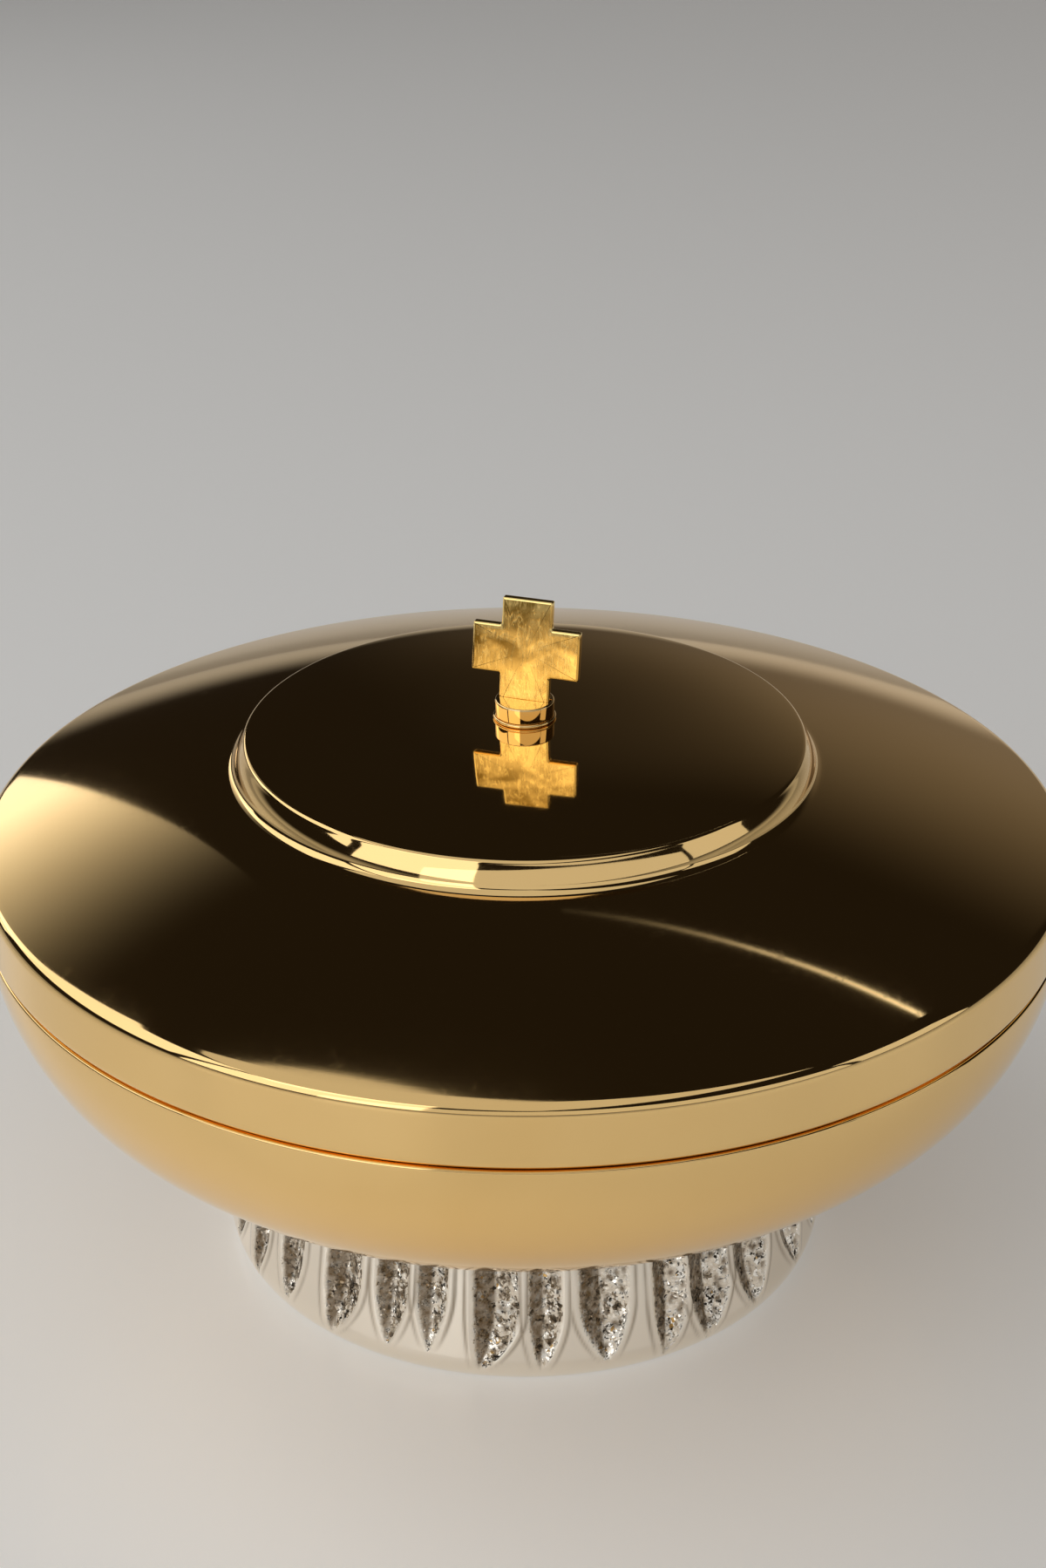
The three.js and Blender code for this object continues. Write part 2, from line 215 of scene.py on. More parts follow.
# %% The lid's profile
dome_outside = graph(dome_height, dome_edge[0], CROWN_FOOT, 60)[:-1]
crown_outside = graph(crown_height, CROWN_RADIUS, KNOB_HOLE, 44)[1:]
wall_foot, wall_top = (CROWN_FOOT, dome_height(CROWN_FOOT)), (CROWN_RADIUS, crown_edge)
crown_fillet = eased(dome_outside[-1], wall_foot, wall_top, CROWN_FILLET_REACH, 8)
crown_rim = eased(wall_foot, wall_top, crown_outside[0], CROWN_EDGE_REACH, 8)
crown_wall = run(crown_fillet[-1], crown_rim[0], 10)[1:-1]
crown_wall[:, 0] += CROWN_BULGE * np.sin(np.pi * np.linspace(0, 1, 11)[1:-1])
dome_outside = dome_outside[dome_outside[:, 0] > crown_fillet[0, 0]]

lower_edge = arc((LID_RADIUS - LOWER_EDGE_ROUND, LID_BASE + LOWER_EDGE_ROUND), LOWER_EDGE_ROUND, -90, 0, 14)
shoulder = arc(shoulder_centre, SHOULDER_ROUND, 0, 90 - shoulder_slope, 14)[:-1]
turned_in = LID_RADIUS - LOWER_EDGE_ROUND - TURNED_EDGE
inner_band = LID_RADIUS - SHEET
band = run((LID_RADIUS, LID_BASE + BAND_ABOVE_EDGE), (LID_RADIUS, BAND_TOP - BAND_BELOW_SHOULDER), 6)
edge_and_band = np.vstack([lower_edge, band, shoulder])
lid_outside = np.vstack([edge_and_band, dome_outside, crown_fillet, crown_wall, crown_rim, crown_outside])

inner_dome_start = CROWN_FOOT - SHEET / 2
inner_dome_end = LID_RADIUS - 2 * SHOULDER_ROUND
inner_dome = graph(lambda r: dome_height(r) - SLOPING_SHEET, inner_dome_start, inner_dome_end, 50)
inner_crown = graph(lambda r: crown_height(r) - SHEET, KNOB_HOLE, CROWN_RADIUS - SHEET, 40)
crown_inside = eased(inner_crown[-2], inner_crown[-1], inner_dome[0], INSIDE_BEND, 5)
dome_inside = eased(inner_crown[-1], inner_dome[0], inner_dome[1], INSIDE_BEND, 5)
inner_corner = (inner_band, BAND_TOP + INNER_SHOULDER_RISE)
below_corner = (inner_band, BAND_TOP - INNER_SHOULDER_DROP)
inner_shoulder = eased(inner_dome[-2], inner_corner, below_corner, INNER_SHOULDER_REACH, 8)
hem_top, hem_bottom = (turned_in, LID_BASE + SHEET), (turned_in, LID_BASE)
hem_start = (inner_band, LID_BASE + SHEET + TURNED_EDGE)
hem = np.vstack([
    eased((inner_band, BAND_TOP), hem_start, hem_top, HEM_BEND, 6),
    eased(hem_start, hem_top, hem_bottom, HEM_EDGE, 5),
    eased(hem_top, hem_bottom, lower_edge[0], HEM_EDGE, 5),
])
lid_inside = np.vstack([inner_crown[:-1], crown_inside, dome_inside, inner_dome[1:-1], inner_shoulder, hem])
lid_profile = np.vstack([lid_outside, lid_inside, lower_edge[:1]])


def row_mark(profile, first, last):
    """1 on the points of a large turned piece in the rows from first up to last, and 0 on the others."""
    rows = np.zeros(len(profile))
    rows[first:last] = 1
    return np.repeat(rows[:, None], LARGE_COLUMNS, axis=1)


satin_end = len(lid_outside) + len(lid_inside) - len(hem)
lid_satin = row_mark(lid_profile, len(lid_outside), satin_end)
lid_sheet = skin("lid_sheet", turned(lid_profile, LARGE_COLUMNS), {"satin": lid_satin})

# %% [markdown]
# ## The knob: bead ring, drum and cross
#
# A thin bead ring sits on the raised disc, and a small drum stands on it. The cross is cut from plate,
# and its stem goes down into a slot in the drum. The drum isn't quite a turned piece, because of the
# slot, but its rows can still be closed loops: the loops of the slot are rectangles, and those of the rim
# are circles, with the same number of points in each, so that one skin covers both.

# %% Sizes of the knob
JOIN_GAP = 0.05
COLLAR_HEIGHT = 0.6
COLLAR_RADIUS = 5.2
DRUM_RADIUS = 4.9
DRUM_HEIGHT = 2.65
DRUM_FOOT_LAND = 0.4
DRUM_FOOT_ROUND = 0.15
DRUM_RIM_ROUND = 0.34
SLOT_CHAMFER = 0.14
STUD_SOCKET = 2.05
STUD_GRIP = 0.85
CROSS_BAR = 8.5
CROSS_REACH = 9.1
CROSS_NECK = 4.3
CROSS_THICKNESS = 1.4
CROSS_TANG = 1.3
CROSS_LEAN = np.radians(2.3)
SMALL_COLUMNS = 120

collar_base = crown_top + JOIN_GAP
drum_base = collar_base + COLLAR_HEIGHT + JOIN_GAP
drum_top = drum_base + DRUM_HEIGHT
print("drum from", round(drum_base, 2), "to", round(drum_top, 2), "mm above the table")

# %% Bead ring
bead_centre = (COLLAR_RADIUS - COLLAR_HEIGHT / 2, collar_base + COLLAR_HEIGHT / 2)
bead_rim = arc(bead_centre, COLLAR_HEIGHT / 2, -90, 90, 12)
bead_inner = run((KNOB_HOLE, collar_base + COLLAR_HEIGHT), (KNOB_HOLE, collar_base))
bead_ring = skin("bead_ring", turned(np.vstack([bead_rim, bead_inner, bead_rim[:1]]), SMALL_COLUMNS))


# %% Drum with its slot
def loops(steps, angles):
    """Rows of a skin from pairs of radius and height, each either one number or one for each angle."""
    return np.stack([around(radii, angles, height) for radii, height in steps])


def rectangle_radii(half_length, half_width, angles):
    """The distance from a rectangle's middle to its nearer pair of sides at each angle."""
    along = half_length / np.maximum(np.abs(np.cos(angles)), 1e-9)
    across = half_width / np.maximum(np.abs(np.sin(angles)), 1e-9)
    return np.minimum(along, across)


slot_half_length = CROSS_BAR / 2 + JOIN_GAP
slot_half_width = CROSS_THICKNESS / 2 + JOIN_GAP
slot_corner = np.arctan2(slot_half_width, slot_half_length)
slot_corners = np.array([slot_corner, np.pi - slot_corner, np.pi + slot_corner, 2 * np.pi - slot_corner])
even_angles = np.linspace(0, 2 * np.pi, SMALL_COLUMNS, endpoint=False)
drum_angles = np.sort(np.concatenate([even_angles, slot_corners]))
slot_radii = rectangle_radii(slot_half_length, slot_half_width, drum_angles)
slot_floor = drum_top - CROSS_TANG - JOIN_GAP

drum_side = np.vstack([
    run((0, drum_base + STUD_GRIP), (STUD_SOCKET, drum_base + STUD_GRIP)),
    run((STUD_SOCKET, drum_base), (DRUM_RADIUS - DRUM_FOOT_LAND, drum_base)),
    arc((DRUM_RADIUS - DRUM_FOOT_ROUND, drum_base + DRUM_FOOT_ROUND), DRUM_FOOT_ROUND, -90, 0, 4),
    arc((DRUM_RADIUS - DRUM_RIM_ROUND, drum_top - DRUM_RIM_ROUND), DRUM_RIM_ROUND, 0, 90, 8),
])
drum_slot = [
    (slot_radii + SLOT_CHAMFER, drum_top),
    (slot_radii, drum_top - SLOT_CHAMFER),
    (slot_radii, slot_floor),
    (0, slot_floor),
]
knob_drum = skin("knob_drum_slotted", loops(list(drum_side) + drum_slot, drum_angles))

# %% [markdown]
# ## The cross
#
# The cross is a Greek one, as wide as it is high, with a neck that is as wide as its bars. Its faces are
# flat, and the rim is rounded over by polishing, which makes the bright line all round it. Its rows are
# loops too: each one is the outline, drawn in towards the middle on the faces, and drawn in a little less
# and less round the rim. The rows start at the middle of the back and end at the middle of the front.

# %% Outline of the cross
CROSS_CORNER_REACH = 0.34
CROSS_SIDE_STEPS = 14

bar, reach = CROSS_BAR / 2, CROSS_REACH
cross_middle = drum_top + CROSS_NECK + bar
stem = cross_middle - drum_top + CROSS_TANG
right_side = [(bar, -stem), (bar, -bar), (reach, -bar), (reach, bar), (bar, bar), (bar, reach)]
cross_corners = np.array(right_side + [(-x, y) for x, y in reversed(right_side)])


def rounded_outline(corners, reach, steps):
    """The outline through the corners, each one eased, with even points along the sides between them."""
    bends = eased_corners(corners, reach, steps)
    pairs = zip(bends, bends[1:] + bends[:1])
    sides = [run(bend[-1], following[0], CROSS_SIDE_STEPS)[1:-1] for bend, following in pairs]
    return np.vstack([part for pair in zip(bends, sides) for part in pair])


def outward(outline):
    """Unit vectors square to a counter-clockwise outline, from the chord between a point's neighbours."""
    chord = np.roll(outline, -1, axis=0) - np.roll(outline, 1, axis=0)
    normal = np.stack([chord[:, 1], -chord[:, 0]], axis=1)
    return normal / np.linalg.norm(normal, axis=1, keepdims=True)


cross_outline = rounded_outline(cross_corners, CROSS_CORNER_REACH, 6)
cross_outward = outward(cross_outline)
print("cross outline:", len(cross_outline), "points")

# %% Faces and rim of the cross
RIM_ROUND = 0.36


def cross_loop(share, inset, depth):
    """The outline drawn in by inset along its normals, then shrunk to a share, at a depth along Y.

    It shrinks about the cross's middle, and leans: a point moves sideways by its height above the drum times
    the tangent of the lean.
    """
    flat = (cross_outline - inset * cross_outward) * share
    height = cross_middle + flat[:, 1]
    sideways = flat[:, 0] + np.tan(CROSS_LEAN) * (height - drum_top)
    return np.stack([sideways, depth + 0 * height, height], axis=-1)


half_thickness = CROSS_THICKNESS / 2
rim_angles = np.radians(np.linspace(0, 90, 7))
face_shares = np.array([0, 0.3, 0.6, 0.85])
rim_insets = RIM_ROUND * (1 - np.sin(rim_angles))
rim_depths = half_thickness - RIM_ROUND * (1 - np.cos(rim_angles))


def cross_half(side):
    """Loops from the middle of one face to halfway round the rim. side is 1 at the back and -1 in front."""
    face = [cross_loop(share, RIM_ROUND, side * half_thickness) for share in face_shares]
    return face + [cross_loop(1, inset, side * depth) for inset, depth in zip(rim_insets, rim_depths)]


cross_rows = np.stack(cross_half(1) + cross_half(-1)[::-1])
rim_rows = np.repeat([0, 1, 0], [len(face_shares) + 1, 2 * len(rim_angles) - 2, len(face_shares) + 1])
rim_mark = np.repeat(rim_rows[:, None], cross_rows.shape[1], axis=1)
cross_plate = skin("cross_plate", cross_rows, {"rim": rim_mark})

# %% [markdown]
# ## The fasteners of the knob
#
# Inside the lid, a washer and a nut with a domed cap hold the knob's stud. They show when the lid is
# lifted off and turned over. A nut's hexagon is only another loop, and its chamfer is a cone that cuts
# the hexagon's corners, which gives the six curved lines of a real nut.

# %% Washer and cap nut
WASHER_RADIUS = 5.0
WASHER_THICKNESS = 0.8
CAP_NUT_FLATS = 7.0
CAP_NUT_HEIGHT = 3.0
CAP_RADIUS = 3.4
BORE_DEPTH = 3.4
CHAMFER_SLOPE = np.tan(np.radians(28))
WASHER_ROUND = 0.15
CAP_STEP = 0.1
CAP_CHAMFER_START = 0.02
CAP_FACE_INSET = 0.05

washer_top = crown_top - SHEET - JOIN_GAP
washer_base = washer_top - WASHER_THICKNESS


def washer(name, bore, radius, base, top, reach):
    """A flat ring whose corners are rounded by reach."""
    corners = [(bore, base), (radius, base), (radius, top), (bore, top)]
    return skin(name, turned(rounded(corners, reach), SMALL_COLUMNS))


def hexagon_radii(flats, angles):
    """The distance from a hexagon's middle to its side at each angle, with a corner at angle 0."""
    return flats / 2 / np.cos(np.mod(angles, np.pi / 3) - np.pi / 6)


lid_washer = washer("knob_washer_turned", KNOB_HOLE, WASHER_RADIUS, washer_base, washer_top, WASHER_ROUND)
cap_nut_top = washer_base - JOIN_GAP
cap_nut_base = cap_nut_top - CAP_NUT_HEIGHT
cap_nut_radii = hexagon_radii(CAP_NUT_FLATS, even_angles)
cap_chamfer = CHAMFER_SLOPE * np.maximum(cap_nut_radii - CAP_NUT_FLATS / 2 - CAP_CHAMFER_START, 0)
cap = arc((0, cap_nut_base), CAP_RADIUS, -90, 0, 20)
cap_nut_rows = [
    (CAP_RADIUS, cap_nut_base + CAP_STEP),
    (cap_nut_radii, cap_nut_base + CAP_STEP + cap_chamfer),
    (cap_nut_radii, cap_nut_top - cap_chamfer),
    (CAP_NUT_FLATS / 2 - CAP_FACE_INSET, cap_nut_top),
    (KNOB_HOLE, cap_nut_top),
    (KNOB_HOLE, cap_nut_top - BORE_DEPTH),
    (0, cap_nut_top - BORE_DEPTH),
]
cap_nut = skin("knob_cap_nut_turned", loops(list(cap) + cap_nut_rows, even_angles))

# %% [markdown]
# ## The bowl and the ring in its mouth
#
# The bowl is spun from sheet too. Its wall stands upright at the mouth and turns, in one cubic curve, to
# the flat bottom that sits on the foot. Inside the mouth a ring is soldered in: its ledge carries the
# lid, and its lip keeps the lid in the middle.

# %% Bowl sheet
BOWL_RADIUS = 89.8
MOUTH_HEIGHT = 66.95
SEAT_HEIGHT = 30.3
SEAT_RADIUS = 50.0
UPPER_PULL = 20.6
LOWER_PULL = 20.0
BOWL_LIP_ROUND = 0.4


def bowl_curve(steps):
    """A cubic curve from the seat to the mouth, with the unit direction along it at each point."""
    t = np.linspace(0, 1, steps + 1)[:, None]
    ends = np.array([(SEAT_RADIUS, SEAT_HEIGHT), (SEAT_RADIUS + LOWER_PULL, SEAT_HEIGHT)])
    tops = np.array([(BOWL_RADIUS, MOUTH_HEIGHT - UPPER_PULL), (BOWL_RADIUS, MOUTH_HEIGHT)])
    a, b, c, d = ends[0], ends[1], tops[0], tops[1]
    points = (1 - t) ** 3 * a + 3 * (1 - t) ** 2 * t * b + 3 * (1 - t) * t**2 * c + t**3 * d
    along = 3 * (1 - t) ** 2 * (b - a) + 6 * (1 - t) * t * (c - b) + 3 * t**2 * (d - c)
    return points, along / np.linalg.norm(along, axis=1, keepdims=True)


bowl_outside, bowl_along = bowl_curve(90)
bowl_inside = bowl_outside + SHEET * np.stack([-bowl_along[:, 1], bowl_along[:, 0]], axis=1)
bowl_lip = arc((BOWL_RADIUS - BOWL_LIP_ROUND, MOUTH_HEIGHT - BOWL_LIP_ROUND), BOWL_LIP_ROUND, 0, 90, 6)
bowl_bottom = run((0, SEAT_HEIGHT), (SEAT_RADIUS, SEAT_HEIGHT), 20)[:-1]
bowl_floor = run((SEAT_RADIUS, SEAT_HEIGHT + SHEET), (0, SEAT_HEIGHT + SHEET), 20)[1:]
bowl_profile = np.vstack([bowl_bottom, bowl_outside[:-1], bowl_lip, bowl_inside[::-1], bowl_floor])
bowl_turn = len(bowl_bottom) + len(bowl_outside) - 1 + len(bowl_lip)
bowl_satin = row_mark(bowl_profile, bowl_turn, len(bowl_profile))
bowl_sheet = skin("bowl_sheet", turned(bowl_profile, LARGE_COLUMNS), {"satin": bowl_satin})

# %% Rim ring
LEDGE_OUTER = 88.35
LEDGE_THICKNESS = 1.4
LIP_OUTER = 86.4
LIP_INNER = 85.2
LIP_TOP = 72.45
RING_ROUND = 0.35

ring_corners = np.array([
    (LIP_INNER, MOUTH_HEIGHT - LEDGE_THICKNESS),
    (LEDGE_OUTER, MOUTH_HEIGHT - LEDGE_THICKNESS),
    (LEDGE_OUTER, MOUTH_HEIGHT),
    (LIP_OUTER, MOUTH_HEIGHT),
    (LIP_OUTER, LIP_TOP),
    (LIP_INNER, LIP_TOP),
])
rim_ring = skin("rim_ring", turned(rounded(ring_corners, RING_ROUND, 5), LARGE_COLUMNS))

# %% [markdown]
# ## The foot
#
# The foot is a cast ring in a paler, silvery finish. Thirty-two lance-shaped flutes are cut into its wall
# by hand: each is a groove with a keel line, two flanks that look like crumpled foil, and a point just
# above the smooth round base. No two are alike, so every flute gets its own place, lean, width and point
# from seeded random numbers, and the script makes the same foot each time it runs.

# %% Smooth wall of the foot
FOOT_HEIGHT = 30.25
FOOT_TOP_RADIUS = 48.5
FOOT_WIDE_RADIUS = 52.6
FOOT_WIDE_HEIGHT = 4.0
FOOT_CONTACT_RADIUS = 50.8
FOOT_CONTACT_BORE = 47.5
FOOT_BORE_RADIUS = 45.0
FOOT_FLANGE = 3.0
FLANGE_BORE = 36.0
FOOT_CHAMFER = 0.3
FOOT_INNER_CHAMFER = 0.1
HOLLOW_BEND = 2.0
FOOT_COLUMNS = 960
FLUTE_COUNT = 32

base_angles = np.radians(np.linspace(-90, 0, 9))
base_bulge = FOOT_WIDE_RADIUS - FOOT_CONTACT_RADIUS
base_radii = FOOT_CONTACT_RADIUS + base_bulge * np.cos(base_angles)
base_heights = FOOT_WIDE_HEIGHT * (1 + np.sin(base_angles))
wall_heights = np.linspace(FOOT_WIDE_HEIGHT, FOOT_HEIGHT, 66)[1:]
wall_share = (wall_heights - FOOT_WIDE_HEIGHT) / (FOOT_HEIGHT - FOOT_WIDE_HEIGHT)
wall_radii = FOOT_WIDE_RADIUS + (FOOT_TOP_RADIUS - FOOT_WIDE_RADIUS) * wall_share
foot_radii = np.concatenate([base_radii, wall_radii])[:, None]
foot_heights = np.concatenate([base_heights, wall_heights])[:, None]
foot_angles = np.linspace(0, 2 * np.pi, FOOT_COLUMNS, endpoint=False)[None, :]
print("foot wall:", foot_radii.shape[0], "rows of", FOOT_COLUMNS)

# %% [markdown]
# A flute is worked out in its own coordinates: across, from minus one at one edge through the keel line
# Outside each edge runs a low round border, which the polishing wheel has left bright. Where two flutes
# meet, the deeper groove and the higher border win, which leaves a thin crease between them, as two cuts
# of a chisel do. The tool left the flank on one side of each keel line rougher than the other, and that
# flank is also painted darker, as painted shade. The crease outside each border is darker too, and both
# are kept as marks for the material.

# %% Flutes
PLACE_SEED = 113646
LEAN_SEED = 340068
WIDTH_SEED = 72026
POINT_SEED = 409625
FLUTE_DEPTH = 1.9
FLUTE_TAPER = 11.0
MIDDLE_WIDTH = 7.0
LEAST_HALF_WIDTH = 0.05
POINT_SHAPE = 0.8
GROOVE_SHAPE = 0.9
EDGE_SOFTNESS = 0.05
BORDER_WIDTH = 1.25
BORDER_HEIGHT = 0.24
FLANK_BLEND = 0.5
CREASE_WIDTH = 0.3


def uneven(seed, middle, spread):
    """One number for each flute: the middle value, plus a seeded random share of the spread either way."""
    return middle + spread * np.random.default_rng(seed).uniform(-1, 1, FLUTE_COUNT)


even_places = 360 / FLUTE_COUNT * np.arange(FLUTE_COUNT)
flute_angles = np.radians(even_places + uneven(PLACE_SEED, middle=1.2, spread=4.0))
flute_leans = np.radians(uneven(LEAN_SEED, middle=-1.0, spread=2.5))
flute_widths = uneven(WIDTH_SEED, middle=7.05, spread=1.9)
flute_points = uneven(POINT_SEED, middle=2.9, spread=1.9)

flute_depth = np.zeros((foot_radii.shape[0], FOOT_COLUMNS))
border_rise = np.zeros_like(flute_depth)
rough_flank_painted_shade = np.zeros_like(flute_depth)
creases = np.zeros_like(flute_depth)
for angle, lean, width, point_height in zip(flute_angles, flute_leans, flute_widths, flute_points):
    rise = np.clip((foot_heights - point_height) / FLUTE_TAPER, 0, 1)
    share = np.sin(rise * np.pi / 2) ** POINT_SHAPE
    keel = angle + lean * (1 - rise) ** 2
    offset = np.mod(foot_angles - keel + np.pi, 2 * np.pi) - np.pi
    half_width = np.maximum(width / 2 * share, LEAST_HALF_WIDTH)
    across = offset * foot_radii / half_width
    groove = 1 - np.sqrt(across**2 + EDGE_SOFTNESS**2)
    depth = FLUTE_DEPTH * share * np.maximum(groove, 0) ** GROOVE_SHAPE * (width / MIDDLE_WIDTH) ** 0.5
    # flank is 1 on one side of each keel line: that flank is made rougher and gets painted shade
    flank = np.clip(-offset * foot_radii / FLANK_BLEND, 0, 1)
    rough_flank_painted_shade = np.where(depth > flute_depth, flank, rough_flank_painted_shade)
    flute_depth = np.maximum(flute_depth, depth)
    beyond = (np.abs(across) - 1) * half_width
    border = np.sin(np.pi * np.clip(beyond / BORDER_WIDTH, 0, 1))
    border_rise = np.maximum(border_rise, BORDER_HEIGHT * share * border)
    creases = np.maximum(creases, share * np.exp(-(((beyond - BORDER_WIDTH) / CREASE_WIDTH) ** 2)))
print("flutes:", FLUTE_COUNT, "deepest", round(float(flute_depth.max()), 2), "mm")

# %% [markdown]
# The crumpled look of the flanks comes from cell noise: points are scattered one to a cell, and the
# surface rises with the distance to the nearest of them, so that it is made of small facets with creases
# between. Two sizes of cell are added, and both are stretched along the flute, as the tool was drawn
# along it.

# %% Crumpled flanks
CRUMPLE_SEED = 5
CELLS_ROUND = 190
CELL_HEIGHT = 2.6
COARSE_RELIEF = 0.26
FINE_RELIEF = 0.1
FLUTE_EDGE_DEPTH = 0.35
PIT_COARSE = 2.6
PIT_FINE = 1.4
PIT_START = 0.35
PIT_MOST = 0.8


def crumple(cells_round, cell_height, seed):
    """Cell noise on the foot's wall: how many cells each point is from the nearest scattered point."""
    rows_of_cells = int(np.ceil(FOOT_HEIGHT / cell_height)) + 3
    jitter = np.random.default_rng(seed).uniform(0, 1, (2, rows_of_cells, cells_round))
    column = foot_angles / (2 * np.pi) * cells_round + 0 * foot_heights
    row = foot_heights / cell_height + 1 + 0 * foot_angles
    nearest = np.full(column.shape, np.inf)
    for row_step in (-1, 0, 1):
        for column_step in (-1, 0, 1):
            cell_row = np.floor(row).astype(int) + row_step
            cell_column = np.floor(column).astype(int) + column_step
            inside = jitter[:, np.clip(cell_row, 0, rows_of_cells - 1), np.mod(cell_column, cells_round)]
            distance = np.hypot(column - cell_column - inside[0], row - cell_row - inside[1])
            nearest = np.minimum(nearest, distance)
    return nearest


coarse = crumple(CELLS_ROUND, CELL_HEIGHT, CRUMPLE_SEED) - 0.5
fine = crumple(2 * CELLS_ROUND, CELL_HEIGHT / 2, CRUMPLE_SEED + 1) - 0.5
inside_flute = np.clip(flute_depth / FLUTE_EDGE_DEPTH, 0, 1)
crumpled = inside_flute * (COARSE_RELIEF * coarse + FINE_RELIEF * fine)
# A pit is where both sizes of cell lie low.
pits = np.clip(-PIT_COARSE * coarse - PIT_FINE * fine - PIT_START, 0, PIT_MOST)
print("crumpled flanks:", round(float(np.ptp(crumpled)), 2), "mm from the lowest point to the highest")

# %% The whole foot
border_rise = border_rise * (1 - inside_flute)
creases = creases * (1 - inside_flute)
carved_radii = np.minimum(foot_radii - flute_depth + border_rise + crumpled, foot_radii + BORDER_HEIGHT)
carved = around(carved_radii, foot_angles, foot_heights)
flange_base = FOOT_HEIGHT - FOOT_FLANGE
flange_chamfer = FLANGE_BORE + FOOT_CHAMFER
hollow_corner = (FOOT_BORE_RADIUS, flange_base)
foot_hollow = np.vstack([
    run((flange_chamfer, FOOT_HEIGHT), (FLANGE_BORE, FOOT_HEIGHT - FOOT_CHAMFER)),
    run((FLANGE_BORE, flange_base + FOOT_CHAMFER), (flange_chamfer, flange_base)),
    eased((FLANGE_BORE, flange_base), hollow_corner, (FOOT_CONTACT_BORE, 0), HOLLOW_BEND, 5),
    run((FOOT_CONTACT_BORE - FOOT_INNER_CHAMFER, FOOT_CHAMFER), (FOOT_CONTACT_BORE + FOOT_CHAMFER, 0)),
])
foot_grid = np.concatenate([carved, turned(foot_hollow, FOOT_COLUMNS), carved[:1]])
hollow_rows = np.zeros((len(foot_hollow), FOOT_COLUMNS))
wall_marks = {"flute": inside_flute, "pit": pits, "rough_flank_painted_shade": rough_flank_painted_shade, "crease": creases}
foot_marks = {title: np.concatenate([rows, hollow_rows, rows[:1]]) for title, rows in wall_marks.items()}
foot_cast = skin("foot_cast", foot_grid, foot_marks)

# %% [markdown]
# ## The fasteners of the foot
#
# Under the bowl, a stud with a thread holds everything together: a plate bears on the foot's flange, and
# a washer and a nut pull the plate up. All of it shows from below.

# %% Clamp plate, washer and nut
PLATE_RADIUS = 41.0
PLATE_TOP = 27.2
PLATE_THICKNESS = 2.0
SPIGOT_RADIUS = 35.7
SPIGOT_TOP = 28.4
STUD_RADIUS = 3.0
STUD_HOLE = 3.15
FOOT_WASHER_RADIUS = 7.0
FOOT_WASHER_THICKNESS = 1.0
FOOT_NUT_FLATS = 10.0
FOOT_NUT_HEIGHT = 5.0
STUD_PROUD = 2.0
PLATE_ROUND = 0.3
FOOT_WASHER_ROUND = 0.2
FOOT_CHAMFER_BITE = 0.1
FOOT_FACE_INSET = 0.15
BORE_CHAMFER = 0.4

plate_base = PLATE_TOP - PLATE_THICKNESS
plate_corners = [(STUD_HOLE, plate_base), (PLATE_RADIUS, plate_base), (PLATE_RADIUS, PLATE_TOP)]
plate_corners += [(SPIGOT_RADIUS, PLATE_TOP), (SPIGOT_RADIUS, SPIGOT_TOP), (STUD_HOLE, SPIGOT_TOP)]
clamp_plate = skin("clamp_plate_turned", turned(rounded(plate_corners, PLATE_ROUND), LARGE_COLUMNS))

foot_washer_top = plate_base - JOIN_GAP
foot_washer_base = foot_washer_top - FOOT_WASHER_THICKNESS
foot_washer = washer("foot_washer_turned", STUD_HOLE, FOOT_WASHER_RADIUS, foot_washer_base, foot_washer_top,
                     FOOT_WASHER_ROUND)

foot_nut_top = foot_washer_base - JOIN_GAP
foot_nut_base = foot_nut_top - FOOT_NUT_HEIGHT
foot_nut_radii = hexagon_radii(FOOT_NUT_FLATS, even_angles)
foot_chamfer = CHAMFER_SLOPE * np.maximum(foot_nut_radii - FOOT_NUT_FLATS / 2 + FOOT_CHAMFER_BITE, 0)
nut_face = FOOT_NUT_FLATS / 2 - FOOT_FACE_INSET
nut_bore = (STUD_HOLE, foot_nut_base + BORE_CHAMFER)
nut_rows = [
    nut_bore,
    (STUD_HOLE + BORE_CHAMFER, foot_nut_base),
    (nut_face, foot_nut_base),
    (foot_nut_radii, foot_nut_base + foot_chamfer),
    (foot_nut_radii, foot_nut_top - foot_chamfer),
    (nut_face, foot_nut_top),
    (STUD_HOLE, foot_nut_top),
    nut_bore,
]
foot_nut = skin("foot_nut_turned", loops(nut_rows, even_angles))

# %% Studs with threads
THREAD_COLUMNS = 60
ROWS_PER_PITCH = 9
THREAD_DEPTH = 0.55
END_CHAMFER = 0.5
PAD_THICKNESS = 1.5
PAD_RADIUS = 8.0
FOOT_STUD_PITCH = 1.0
KNOB_STUD_RADIUS = 2.0
KNOB_STUD_PITCH = 0.7
KNOB_STUD_REACH = 0.8


def threaded_stud(name, radius, bottom, shoulder_height, head, pitch):
    """A stud with one crest for each pitch of its height, and a crest turns once as it climbs by a pitch.

    The crest's height is a triangle wave of height over pitch less angle over a full turn. The wave fades
    out under the shoulder, and a cone cuts it at the end. head is the profile above the shoulder, from the
    shoulder to the axis.
    """
    angles = np.linspace(0, 2 * np.pi, THREAD_COLUMNS, endpoint=False)
    heights = np.arange(bottom, shoulder_height, pitch / ROWS_PER_PITCH)[:, None]
    phase = np.mod(heights / pitch - angles / (2 * np.pi), 1)
    groove = THREAD_DEPTH * pitch * np.abs(2 * phase - 1)
    fade = np.clip((shoulder_height - heights) / pitch, 0, 1)
    end_cone = radius - END_CHAMFER + (heights - bottom)
    radii = np.minimum(radius - groove * fade, end_cone)
    pole = turned(np.array([(0, bottom)]), THREAD_COLUMNS)
    top = turned(np.array(head, float), THREAD_COLUMNS)
    return skin(name, np.concatenate([pole, around(radii, angles, heights), top]))


